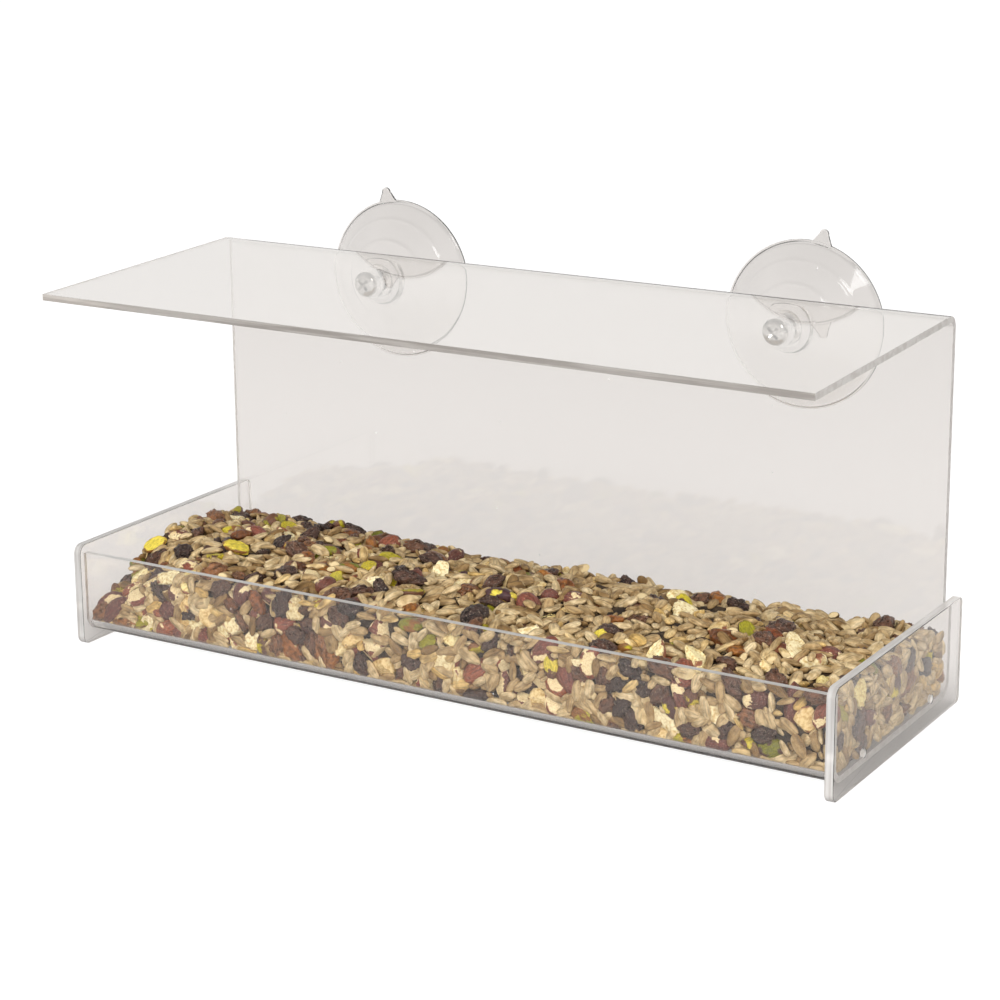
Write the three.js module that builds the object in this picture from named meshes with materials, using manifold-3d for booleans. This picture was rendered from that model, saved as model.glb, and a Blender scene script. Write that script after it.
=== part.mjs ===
// A clear acrylic window bird feeder, in millimetres, +Z up.
// +X runs along the tray, +Y points at the window, and the bird comes from -Y.
// One acrylic sheet is bent three times into roof, back panel, tray floor and front lip. Two end panels
// close the tray and are its feet. Each suction cup hangs behind the back panel on one screw.
// The tray holds a bed of loose seed mix.
import * as THREE from "three";
import { mergeVertices } from "three/addons/utils/BufferGeometryUtils.js";
import Module from "manifold-3d";

const wasm = await Module();
wasm.setup();

// Driving dimensions. Depths are measured from the end panels' front edge, heights from their bottom edge.
const OVERALL_WIDTH = 388;
const END_THICKNESS = 4;
const END_DEPTH = 136;
const END_HEIGHT = 49;
const GLUE_LINE = 0.1;
const SHEET_THICKNESS = 3;
const ROOF_REACH = 17;
const ROOF_FRONT_HEIGHT = 172.5;
const ROOF_REAR_HEIGHT = 176.5;
const BACK_DEPTH = 126;
const FLOOR_UNDERSIDE = 6.2;
const LIP_DEPTH = 2.6;
const LIP_HEIGHT = 45.2;
const ROOF_BEND = 6;
const TRAY_BEND = 8;

const SCREW_SPACING = 216;
const SCREW_HEIGHT = 158;
const SCREW_SHANK_RADIUS = 2.4;
const SCREW_LENGTH = 12.5;
const SCREW_HEAD_RADIUS = 6;
const SCREW_HEAD_HEIGHT = 4;
const SHEET_HOLE_RADIUS = 3;
const RUNNING_GAP = 0.25;

const CUP_RADIUS = 38.7;
const CUP_LENGTH = 26.75;
const NECK_RADIUS = 7.7;
const NECK_LENGTH = 8.6;
const CROWN_RADIUS = 11.5;
const BORE_RADIUS = 2.65;
const BORE_DEPTH = 10.6;
const MOULDED_RINGS = [20, 29.5];
const RING_STEP = 0.35;
const RIM_THICKNESS = 1.1;
const CUP_TABS = { left: -10, right: 12 };

const SEED_GAP = 0.4;
const SEED_FRONT_HEIGHT = 42;
const SEED_REAR_HEIGHT = 37;
const SEED_CROWN = 6;
const SEED_CORNER_DROP = 26;
const SEED_CORNER_REACH = 50;

// Sizes that follow from them.
const SHEET_WIDTH = OVERALL_WIDTH - 2 * (END_THICKNESS + GLUE_LINE);
const CUP_REACH = RUNNING_GAP + CUP_LENGTH;
const MIDDLE_DEPTH = (BACK_DEPTH + CUP_REACH - ROOF_REACH) / 2;
const FLOOR_TOP = FLOOR_UNDERSIDE + SHEET_THICKNESS;
const BACK_FRONT_FACE = BACK_DEPTH - SHEET_THICKNESS;

const ROUND_SEGMENTS = 40;
const SMALL_ROUND_SEGMENTS = 24;

// Outlines in the side plane have depth as their x and height as their y. This turns their extrusion,
// which starts along z, so that it runs along the part's X axis.
const SIDE_PLANE = new THREE.Matrix4().makeBasis(
  new THREE.Vector3(0, 1, 0),
  new THREE.Vector3(0, 0, 1),
  new THREE.Vector3(1, 0, 0),
);

const acrylic = { color: 0xe9e6e2, roughness: 0.06, metalness: 0, transparent: true, opacity: 0.35 };
const vinyl = { color: 0xdcd9d4, roughness: 0.16, metalness: 0, transparent: true, opacity: 0.45 };
const chrome = { color: 0xcfcdca, roughness: 0.12, metalness: 1 };
const seed = { color: 0xb39c78, roughness: 0.8, metalness: 0 };

function bareGeometry(geometry) {
  const bare = geometry.clone();
  bare.deleteAttribute("normal");
  bare.deleteAttribute("uv");
  return mergeVertices(bare, 1e-4);
}

function solidOf(geometry) {
  const bare = bareGeometry(geometry);
  return new wasm.Manifold(
    new wasm.Mesh({
      numProp: 3,
      vertProperties: bare.attributes.position.array,
      triVerts: new Uint32Array(bare.index.array),
    }),
  );
}

function geometryOf(solid) {
  const mesh = solid.getMesh();
  const geometry = new THREE.BufferGeometry();
  geometry.setAttribute("position", new THREE.BufferAttribute(mesh.vertProperties, 3));
  geometry.setIndex(new THREE.BufferAttribute(mesh.triVerts, 1));
  geometry.computeVertexNormals();
  return geometry;
}

function namedMesh(name, geometry, look) {
  const mesh = new THREE.Mesh(geometry, new THREE.MeshStandardMaterial(look));
  mesh.name = name;
  return mesh;
}

// The outer face of a strip bent at its corners, as points with the direction that leads into the strip.
// Each bend turns to the right as the outline is walked, about a centre inside the strip's curve.
function bentFace(corners, radii, steps) {
  const face = [];
  const add = (point, inward) => face.push({ point, inward });
  const direction = (a, b) => b.clone().sub(a).normalize();
  const rightOf = (d) => new THREE.Vector2(d.y, -d.x);
  add(corners[0], rightOf(direction(corners[0], corners[1])));
  for (let i = 1; i < corners.length - 1; i++) {
    const before = rightOf(direction(corners[i - 1], corners[i]));
    const after = rightOf(direction(corners[i], corners[i + 1]));
    const reach = radii[i - 1] / (1 + before.dot(after));
    const centre = corners[i].clone().addScaledVector(before.clone().add(after), reach);
    const turn = Math.acos(before.dot(after));
    for (let s = 0; s <= steps; s++) {
      const inward = before.clone().rotateAround(new THREE.Vector2(), (-turn * s) / steps);
      add(centre.clone().addScaledVector(inward, -radii[i - 1]), inward);
    }
  }
  const last = corners.length - 1;
  add(corners[last], rightOf(direction(corners[last - 1], corners[last])));
  return face;
}

function bentSheet() {
  const BEND_STEPS = 6;
  const DRILL_OVERRUN = 1;
  const corners = [
    new THREE.Vector2(-ROOF_REACH, ROOF_FRONT_HEIGHT),
    new THREE.Vector2(BACK_DEPTH, ROOF_REAR_HEIGHT),
    new THREE.Vector2(BACK_DEPTH, FLOOR_UNDERSIDE),
    new THREE.Vector2(LIP_DEPTH, FLOOR_UNDERSIDE),
    new THREE.Vector2(LIP_DEPTH, LIP_HEIGHT),
  ];
  const face = bentFace(corners, [ROOF_BEND, TRAY_BEND, TRAY_BEND], BEND_STEPS);
  const outer = face.map((f) => f.point);
  const inner = face.map((f) => f.point.clone().addScaledVector(f.inward, SHEET_THICKNESS));
  const outline = new THREE.Shape([...outer, ...inner.reverse()]);
  const strip = new THREE.ExtrudeGeometry(outline, { depth: SHEET_WIDTH, bevelEnabled: false });
  strip.translate(0, 0, -SHEET_WIDTH / 2).applyMatrix4(SIDE_PLANE);
  let solid = solidOf(strip);
  for (const side of [-1, 1]) {
    const drill = new THREE.CylinderGeometry(
      SHEET_HOLE_RADIUS, SHEET_HOLE_RADIUS, SHEET_THICKNESS + 2 * DRILL_OVERRUN, SMALL_ROUND_SEGMENTS,
    );
    drill.translate((side * SCREW_SPACING) / 2, BACK_DEPTH - SHEET_THICKNESS / 2, SCREW_HEIGHT);
    solid = solid.subtract(solidOf(drill));
  }
  return namedMesh("bent_sheet", geometryOf(solid), acrylic);
}

// A low plate that closes one end of the tray. It stands past the sheet in front, behind and below,
// and two small drain holes sit just above the tray floor.
function endPanel(name, side) {
  const FRONT_CORNER = 4.5;
  const REAR_CORNER = 3;
  const HOLE_RADIUS = 1.7;
  const HOLE_CLEARANCE = 0.8;
  const HOLE_HEIGHT = FLOOR_TOP + HOLE_CLEARANCE + HOLE_RADIUS;
  const HOLE_DEPTHS = [31, 103];
  const outline = new THREE.Shape();
  outline.moveTo(FRONT_CORNER, 0);
  outline.lineTo(END_DEPTH - REAR_CORNER, 0);
  outline.absarc(END_DEPTH - REAR_CORNER, REAR_CORNER, REAR_CORNER, -Math.PI / 2, 0);
  outline.absarc(END_DEPTH - REAR_CORNER, END_HEIGHT - REAR_CORNER, REAR_CORNER, 0, Math.PI / 2);
  outline.absarc(FRONT_CORNER, END_HEIGHT - FRONT_CORNER, FRONT_CORNER, Math.PI / 2, Math.PI);
  outline.absarc(FRONT_CORNER, FRONT_CORNER, FRONT_CORNER, Math.PI, 1.5 * Math.PI);
  for (const depth of HOLE_DEPTHS) {
    const hole = new THREE.Path();
    hole.absarc(depth, HOLE_HEIGHT, HOLE_RADIUS, 0, 2 * Math.PI, true);
    outline.holes.push(hole);
  }
  const plate = new THREE.ExtrudeGeometry(outline, {
    depth: END_THICKNESS,
    bevelEnabled: false,
    curveSegments: 6,
  });
  const from = side > 0 ? SHEET_WIDTH / 2 + GLUE_LINE : -OVERALL_WIDTH / 2;
  plate.translate(0, 0, from).applyMatrix4(SIDE_PLANE);
  return namedMesh(name, plate, acrylic);
}

// How far a radius lies from the bell's crown, 0, to its rim, 1.
const shareOut = (radius) => (radius - CROWN_RADIUS) / (CUP_RADIUS - CROWN_RADIUS);

// The front of a cup's bell at a radius: shallow at the crown, steeper at the rim, with a fine moulded
// step at each ring. Distances are from the neck's front face.
function bellFront(radius) {
  const CROWN_DEPTH = NECK_LENGTH + 1.4;
  const STEEPENING = 1.3;
  const drop = CUP_LENGTH - RIM_THICKNESS - CROWN_DEPTH - MOULDED_RINGS.length * RING_STEP;
  const stepsPassed = MOULDED_RINGS.filter((ring) => radius > ring).length;
  return CROWN_DEPTH + drop * shareOut(radius) ** STEEPENING + RING_STEP * stepsPassed;
}

// The bell's inner face, under a wall that thins from the crown to the rim.
function bellBack(radius) {
  const CROWN_WALL = 3.2;
  return bellFront(radius) + THREE.MathUtils.lerp(CROWN_WALL, RIM_THICKNESS, shareOut(radius));
}

function cupProfile() {
  const CROWN_FLOOR = BORE_DEPTH + 3.6;
  const NECK_ROUND = 0.8;
  const NECK_FILLET = 1;
  const CROWN_ROUND = 0.5;
  const RING_WIDTH = 0.3;
  const RIM_LAND = 1.2;
  const ringEdges = MOULDED_RINGS.flatMap((ring) => [ring, ring + RING_WIDTH]);
  const frontRadii = [CROWN_RADIUS, 15.5, 25, 34.5, CUP_RADIUS, ...ringEdges].sort((a, b) => a - b);
  const backRadii = [36.5, 32, 26, 20, 14.5];
  const points = [
    [0, BORE_DEPTH],
    [BORE_RADIUS, BORE_DEPTH],
    [BORE_RADIUS, 0],
    [NECK_RADIUS - NECK_ROUND, 0],
    [NECK_RADIUS, NECK_ROUND],
    [NECK_RADIUS, NECK_LENGTH - NECK_FILLET],
    [NECK_RADIUS + NECK_FILLET, NECK_LENGTH],
    [CROWN_RADIUS - CROWN_ROUND, NECK_LENGTH + CROWN_ROUND],
    ...frontRadii.map((radius) => [radius, bellFront(radius)]),
    [CUP_RADIUS, CUP_LENGTH],
    [CUP_RADIUS - RIM_LAND, CUP_LENGTH],
    ...backRadii.map((radius) => [radius, bellBack(radius)]),
    [BORE_RADIUS, CROWN_FLOOR],
    [0, CROWN_FLOOR],
  ];
  return points.map(([radius, depth]) => new THREE.Vector2(radius, depth));
}

// The tongue that a finger lifts to break the seal, standing out from the rim at an angle from the top.
function pullTab(degreesFromTop) {
  const HALF_BASE = 4.6;
  const HALF_TIP = 2.2;
  const LENGTH = 6.4;
  const ROOT = 2;
  const THICKNESS = 1.6;
  const SETBACK = 0.2;
  const outline = new THREE.Shape();
  outline.moveTo(HALF_BASE, CUP_RADIUS - ROOT);
  outline.lineTo(HALF_TIP, CUP_RADIUS + LENGTH - HALF_TIP);
  outline.absarc(0, CUP_RADIUS + LENGTH - HALF_TIP, HALF_TIP, 0, Math.PI);
  outline.lineTo(-HALF_BASE, CUP_RADIUS - ROOT);
  const tab = new THREE.ExtrudeGeometry(outline, {
    depth: THICKNESS,
    bevelEnabled: false,
    curveSegments: 5,
  });
  tab.rotateX(Math.PI / 2).translate(0, CUP_LENGTH - SETBACK, 0);
  return tab.rotateY(THREE.MathUtils.degToRad(degreesFromTop));
}

// A hollow bell of clear vinyl on a solid neck. The neck has a blind bore for the screw, and the bell
// opens towards the window.
function suctionCup(name, side, tabAngle) {
  const bell = new THREE.LatheGeometry(cupProfile(), ROUND_SEGMENTS);
  const solid = solidOf(bell).add(solidOf(pullTab(tabAngle)));
  const cup = namedMesh(name, geometryOf(solid), vinyl);
  cup.position.set((side * SCREW_SPACING) / 2, BACK_DEPTH + RUNNING_GAP, SCREW_HEIGHT);
  return cup;
}

// A pan head screw that points along +Y, with its head's underside at the origin.
function cupScrew(name, side) {
  const TIP = 1;
  const HEAD_EDGE = 1.2;
  const SLOT_WIDTH = 1.3;
  const SLOT_LENGTH = 6;
  const SLOT_DEPTH = 2;
  const DOME_STEPS = 5;
  const profile = [new THREE.Vector2(0, -SCREW_HEAD_HEIGHT)];
  for (let s = 1; s <= DOME_STEPS; s++) {
    const angle = (s / DOME_STEPS) * (Math.PI / 2);
    const rise = (SCREW_HEAD_HEIGHT - HEAD_EDGE) * Math.cos(angle);
    profile.push(new THREE.Vector2(SCREW_HEAD_RADIUS * Math.sin(angle), -HEAD_EDGE - rise));
  }
  profile.push(new THREE.Vector2(SCREW_HEAD_RADIUS, 0));
  profile.push(new THREE.Vector2(SCREW_SHANK_RADIUS, 0));
  profile.push(new THREE.Vector2(SCREW_SHANK_RADIUS, SCREW_LENGTH - TIP));
  profile.push(new THREE.Vector2(SCREW_SHANK_RADIUS - TIP, SCREW_LENGTH));
  profile.push(new THREE.Vector2(0, SCREW_LENGTH));
  let solid = solidOf(new THREE.LatheGeometry(profile, SMALL_ROUND_SEGMENTS));
  for (const turn of [0, Math.PI / 2]) {
    const slot = new THREE.BoxGeometry(SLOT_LENGTH, 2 * SLOT_DEPTH, SLOT_WIDTH);
    slot.translate(0, -SCREW_HEAD_HEIGHT, 0).rotateY(turn + Math.PI / 4);
    solid = solid.subtract(solidOf(slot));
  }
  const screw = namedMesh(name, geometryOf(solid), chrome);
  screw.position.set((side * SCREW_SPACING) / 2, BACK_FRONT_FACE - RUNNING_GAP, SCREW_HEIGHT);
  return screw;
}

// Height of the heaped seed at a place across and along the tray: level at the lip and the back panel,
// crowned between them, and scooped out in the front left corner.
function seedHeight(x, depth) {
  const fromLip = depth - LIP_DEPTH - SHEET_THICKNESS;
  const along = fromLip / (BACK_FRONT_FACE - LIP_DEPTH - SHEET_THICKNESS);
  const level = THREE.MathUtils.lerp(SEED_FRONT_HEIGHT, SEED_REAR_HEIGHT, along);
  const nearLeft = 1 - THREE.MathUtils.smoothstep(x + SHEET_WIDTH / 2, 0, SEED_CORNER_REACH);
  const nearLip = 1 - THREE.MathUtils.smoothstep(fromLip, 0, SEED_CORNER_REACH);
  return level + SEED_CROWN * Math.sin(Math.PI * along) - SEED_CORNER_DROP * nearLeft * nearLip;
}

// The loose seed as one bed with a heaped top. Its lower long edges are cut back round the tray's bends.
function seedMix() {
  const ACROSS_STEPS = 20;
  const ALONG_STEPS = 8;
  const BEND_CLEARANCE = TRAY_BEND - SHEET_THICKNESS;
  const width = SHEET_WIDTH - 2 * SEED_GAP;
  const front = LIP_DEPTH + SHEET_THICKNESS + SEED_GAP;
  const rear = BACK_FRONT_FACE - SEED_GAP;
  const middle = (front + rear) / 2;
  const bed = new THREE.BoxGeometry(width, rear - front, 2, ACROSS_STEPS, ALONG_STEPS, 2);
  const places = bed.attributes.position;
  for (let i = 0; i < places.count; i++) {
    const level = Math.round(places.getZ(i));
    const x = places.getX(i);
    const depth = middle + places.getY(i);
    const bottomDepth = middle + places.getY(i) * (1 - (2 * BEND_CLEARANCE) / (rear - front));
    if (level < 0) places.setXYZ(i, x, bottomDepth, FLOOR_TOP + SEED_GAP);
    if (level === 0) places.setXYZ(i, x, depth, FLOOR_TOP + SEED_GAP + BEND_CLEARANCE);
    if (level > 0) places.setXYZ(i, x, depth, seedHeight(x, depth));
  }
  return namedMesh("seed_mix", bareGeometry(bed), seed);
}

const feeder = new THREE.Group();
feeder.add(bentSheet(), endPanel("left_end_panel", -1), endPanel("right_end_panel", 1), seedMix());
feeder.add(suctionCup("left_suction_cup", -1, CUP_TABS.left));
feeder.add(suctionCup("right_suction_cup", 1, CUP_TABS.right));
feeder.add(cupScrew("left_cup_screw", -1), cupScrew("right_cup_screw", 1));

// The origin is the middle of the whole depth, from the roof's front edge to the cups' rims.
feeder.position.y = -MIDDLE_DEPTH;

export default feeder;
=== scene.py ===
"""Looks for a clear acrylic window bird feeder: a bent sheet between two end panels, two clear
suction cups on plated screws, and a tray of loose seed mix. Sizes below are in millimetres."""

import math

import bpy
import numpy as np
from mathutils import Matrix, Vector, noise


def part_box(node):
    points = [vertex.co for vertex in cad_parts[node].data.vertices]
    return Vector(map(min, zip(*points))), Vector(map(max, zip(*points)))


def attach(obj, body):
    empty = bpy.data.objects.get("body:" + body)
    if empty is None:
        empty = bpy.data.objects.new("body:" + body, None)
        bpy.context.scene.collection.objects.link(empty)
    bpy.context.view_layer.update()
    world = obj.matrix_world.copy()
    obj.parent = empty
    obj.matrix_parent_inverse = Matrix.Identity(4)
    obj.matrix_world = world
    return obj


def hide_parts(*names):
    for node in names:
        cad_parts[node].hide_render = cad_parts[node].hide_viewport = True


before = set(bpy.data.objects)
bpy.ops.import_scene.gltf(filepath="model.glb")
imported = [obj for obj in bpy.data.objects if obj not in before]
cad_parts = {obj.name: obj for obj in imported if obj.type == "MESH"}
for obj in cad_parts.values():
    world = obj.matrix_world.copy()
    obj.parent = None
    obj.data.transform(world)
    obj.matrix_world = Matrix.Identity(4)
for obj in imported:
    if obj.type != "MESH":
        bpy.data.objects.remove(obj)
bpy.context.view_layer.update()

MM = 0.001
SEED = 20

# Sheet and end panels.
SHEET_THICKNESS = 3.0
ROOF_CORNER_HEIGHT = 176.5
ROOF_FRONT_HEIGHT = 172.5
LIP_HEIGHT = 45.2
END_OVERHANG = 2.6
ROOF_BEND = 6.0
TRAY_BEND = 8.0
SHEET_HOLE_RADIUS = 3.0
END_FRONT_CORNER = 4.5
END_REAR_CORNER = 3.0
DRAIN_HOLE_RADIUS = 1.7
DRAIN_HOLE_DEPTHS = (31.0, 103.0)
DRAIN_HOLE_RISE = 2.5
SHEET_EDGE_ROUND = 0.35
END_EDGE_ROUND = 0.6
DRILL_OVERRUN = 1.0

# Suction cups and their screws.
NECK_RADIUS = 7.7
NECK_LENGTH = 8.6
CROWN_RADIUS = 11.5
CROWN_DEPTH = 10.0
CROWN_WALL = 3.2
BORE_RADIUS = 2.65
BORE_DEPTH = 10.6
BORE_EDGE = 0.3
BORE_FLOOR = 3.6
NECK_EDGE = 0.9
NECK_FILLET = 1.5
CROWN_EDGE = 0.5
RIM_EDGE = 0.25
RIM_WALL = 1.1
RIM_LAND = 1.2
BELL_POWER = 1.3
MOULD_RINGS = (20.0, 29.5)
RING_STEP = 0.35
TAB_HALF_BASE = 4.6
TAB_HALF_TIP = 2.2
TAB_THICKNESS = 1.6
TAB_LENGTH = 6.3
CUP_RADIUS = 38.7
CUP_TABS = {"left": -10.0, "right": 12.0}
SHANK_RADIUS = 2.4
HEAD_RADIUS = 6.0
HEAD_HEIGHT = 4.0
HEAD_EDGE = 1.2
THREAD_PITCH = 1.25
THREAD_DEPTH = 0.55
HEAD_LIP = 0.35
RECESS_HALF = 3.7
RECESS_DEPTH = 2.6
RECESS_WIDTH = 1.4

# Seed heap: level at the lip and the back, crowned between, scooped out in the front left corner.
SEED_FRONT_HEIGHT = 42.0
SEED_REAR_HEIGHT = 37.0
SEED_CROWN = 6.0
SEED_CORNER_DROP = 26.0
SEED_CORNER_REACH = 58.0
SEED_RIGHT_RISE = 2.0
WALL_GAP = 0.3


def box_mm(node):
    low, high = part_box(node)
    return Vector(low) / MM, Vector(high) / MM


sheet_low, sheet_high = box_mm("bent_sheet")
back_outer = sheet_high.y
back_inner = back_outer - SHEET_THICKNESS
lip_inner = box_mm("left_end_panel")[0].y + END_OVERHANG + SHEET_THICKNESS
lip_outer = lip_inner - SHEET_THICKNESS
floor_top = sheet_low.z + SHEET_THICKNESS


def smooth_step(edge, width, value):
    """0 up to an edge, rising smoothly to 1 at a width past it."""
    share = np.clip((value - edge) / width, 0, 1)
    return share * share * (3 - 2 * share)


# ---- mesh helpers


def mesh_object(name, points, faces):
    """A mesh object from points in millimetres."""
    mesh = bpy.data.meshes.new(name)
    mesh.from_pydata([Vector(p) * MM for p in points], [], faces)
    mesh.update()
    piece = bpy.data.objects.new(name, mesh)
    bpy.context.scene.collection.objects.link(piece)
    return piece


def arc(centre, radius, start, end, steps):
    """Points on an arc in a plane, from one angle to another in degrees."""
    angles = [math.radians(start + (end - start) * s / steps) for s in range(steps + 1)]
    return [(centre[0] + radius * math.cos(a), centre[1] + radius * math.sin(a)) for a in angles]


def extruded(name, outline, place, thickness):
    """A plate: place(a, b, c) puts an outline point at each of the plate's two faces."""
    count = len(outline)
    points = [place(a, b, c) for c in (0, thickness) for a, b in outline]
    sides = [(i, (i + 1) % count, count + (i + 1) % count, count + i) for i in range(count)]
    caps = [tuple(reversed(range(count))), tuple(range(count, 2 * count))]
    return outward(mesh_object(name, points, sides + caps))


def lathed(name, profile, segments, radius_at=None):
    """A closed body turned about the Y axis. profile is (radius, depth) from axis to axis, and
    radius_at(radius, depth, angle) may shape it round the turn."""
    points = [(0, profile[0][1], 0), (0, profile[-1][1], 0)]
    rings = profile[1:-1]
    for radius, depth in rings:
        for s in range(segments):
            angle = 2 * math.pi * s / segments
            r = radius_at(radius, depth, angle) if radius_at else radius
            points.append((r * math.sin(angle), depth, r * math.cos(angle)))
    index = lambda ring, s: 2 + ring * segments + s % segments
    faces = []
    last = len(rings) - 1
    for s in range(segments):
        faces.append((0, index(0, s), index(0, s + 1)))
        faces.append((1, index(last, s + 1), index(last, s)))
        for ring in range(last):
            faces.append((index(ring, s), index(ring + 1, s), index(ring + 1, s + 1), index(ring, s + 1)))
    return outward(mesh_object(name, points, faces))


def outward(piece):
    """Turns a closed mesh's faces to point out."""
    mesh = piece.data
    mesh.calc_loop_triangles()
    volume = 0
    for triangle in mesh.loop_triangles:
        a, b, c = (mesh.vertices[i].co for i in triangle.vertices)
        volume += a.dot(b.cross(c))
    if volume < 0:
        mesh.flip_normals()
    return piece


def combined(piece, others, operation):
    """Joins or cuts piece with closed meshes, which are used up."""
    for other in others:
        modifier = piece.modifiers.new("cut", "BOOLEAN")
        modifier.operation = operation
        modifier.solver = "EXACT"
        modifier.object = other
    applied(piece)
    for other in others:
        bpy.data.objects.remove(other)


def applied(piece):
    """Keeps the shape that the piece's modifiers give it, and removes them."""
    shown = piece.evaluated_get(bpy.context.evaluated_depsgraph_get())
    mesh = bpy.data.meshes.new_from_object(shown)
    piece.modifiers.clear()
    piece.data = mesh


def edges_broken(piece, width, segments=2):
    """Rounds a piece's sharp edges a little, as a scraped or moulded edge is."""
    bevel = piece.modifiers.new("edge", "BEVEL")
    bevel.width = width * MM
    bevel.segments = segments
    bevel.limit_method = "ANGLE"
    bevel.angle_limit = math.radians(35)
    bevel.use_clamp_overlap = True
    applied(piece)


def shaded(piece, sharp_degrees=30):
    """Smooth shading, with flat faces kept flat and sharp edges kept sharp."""
    piece.data.polygons.foreach_set("use_smooth", [True] * len(piece.data.polygons))
    piece.data.set_sharp_from_angle(angle=math.radians(sharp_degrees))
    weighted = piece.modifiers.new("normals", "WEIGHTED_NORMAL")
    weighted.keep_sharp = True
    weighted.weight = 100


# ---- camera, floor and light

LENS = 93.57
CAMERA_AZIMUTH = 31.19
CAMERA_ELEVATION = 14.47
CAMERA_ROLL = -0.42
CAMERA_DISTANCE = 1170.1
CAMERA_TARGET = Vector((-5.8, 8.3, 116.3))
CAMERA_SHIFT = -0.08


def photographic_camera():
    azimuth = math.radians(CAMERA_AZIMUTH)
    elevation = math.radians(CAMERA_ELEVATION)
    roll = math.radians(CAMERA_ROLL)
    back = Vector((
        math.sin(azimuth) * math.cos(elevation),
        -math.cos(azimuth) * math.cos(elevation),
        math.sin(elevation),
    ))
    right = Vector((math.cos(azimuth), math.sin(azimuth), 0))
    up = back.cross(right)
    rolled_right = right * math.cos(roll) + up * math.sin(roll)
    rolled_up = up * math.cos(roll) - right * math.sin(roll)
    data = bpy.data.cameras.new("camera")
    data.lens = LENS
    data.shift_y = CAMERA_SHIFT
    data.clip_start = 0.05
    camera = bpy.data.objects.new("camera", data)
    turn = Matrix((rolled_right, rolled_up, back)).transposed().to_4x4()
    camera.matrix_world = Matrix.Translation((CAMERA_TARGET + back * CAMERA_DISTANCE) * MM) @ turn
    bpy.context.scene.collection.objects.link(camera)
    bpy.context.scene.camera = camera


def srgb(red, green, blue):
    """A display colour of 0 to 255 as the linear colour that a shader takes."""
    linear = lambda c: c / 12.92 if c <= 0.04045 else ((c + 0.055) / 1.055) ** 2.4
    return tuple(linear(c / 255) for c in (red, green, blue)) + (1.0,)


def new_tree(name):
    material = bpy.data.materials.new(name)
    material.use_nodes = True
    material.node_tree.nodes.clear()
    return material, material.node_tree


def add(tree, kind, settings=None, **values):
    """A node with its settings and its inputs' values. An input given a socket is linked to it."""
    made = tree.nodes.new("ShaderNode" + kind)
    for key, value in (settings or {}).items():
        setattr(made, key, value)
    for key, value in values.items():
        wanted = int(key[1:]) if key[0] == "i" and key[1:].isdigit() else key.replace("_", " ")
        socket = made.inputs[wanted]
        if isinstance(value, bpy.types.NodeSocket):
            tree.links.new(value, socket)
        else:
            socket.default_value = value
    return made


def ramp(tree, factor, stops):
    """A colour ramp from (place, colour) stops. A colour is a grey level or three display values."""
    made = add(tree, "ValToRGB", Fac=factor)
    elements = made.color_ramp.elements
    while len(elements) < len(stops):
        elements.new(0.5)
    for element, (place, colour) in zip(elements, stops):
        element.position = place
        element.color = srgb(*colour) if isinstance(colour, tuple) else (colour, colour, colour, 1)
    return made.outputs["Color"]


def math_node(tree, operation, a, b=0.0):
    return add(tree, "Math", {"operation": operation}, i0=a, i1=b).outputs["Value"]


def mix_colour(tree, factor, a, b, blend="MIX"):
    """Mixes two colours. On a Mix node set to colours, they are inputs 6 and 7 and output 2."""
    made = add(tree, "Mix", {"data_type": "RGBA", "blend_type": blend}, i0=factor, i6=a, i7=b)
    return made.outputs[2]


def times(tree, a, b):
    return mix_colour(tree, 1.0, a, b, "MULTIPLY")


def object_place(tree):
    return add(tree, "TexCoord").outputs["Object"]


def stretched(tree, place, x, y, z):
    return add(tree, "Mapping", {"vector_type": "POINT"}, Vector=place, Scale=(x, y, z)).outputs["Vector"]


def noise_of(tree, place, scale, detail, **more):
    return add(tree, "TexNoise", Vector=place, Scale=scale, Detail=detail, **more).outputs["Fac"]


def surface_of(tree, colour, roughness, height, strength, distance, **more):
    """A surface's colour and roughness, with a bump from height. The bump's distance is in metres."""
    bump = add(tree, "Bump", Strength=strength, Distance=distance, Height=height).outputs["Normal"]
    made = add(tree, "BsdfPrincipled", Base_Color=colour, Roughness=roughness, Normal=bump, **more)
    return made.outputs[0]


def mixed(tree, factor, first, second):
    return add(tree, "MixShader", Fac=factor, i1=first, i2=second).outputs[0]


def finished(material, tree, surface):
    add(tree, "OutputMaterial", Surface=surface)
    return material


FLOOR_HALF = 9000.0
FLOOR_DROP = 0.2
FLOOR_GREY = srgb(207, 204, 202)
DISTANT_GREY = srgb(229, 226, 223)


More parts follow.
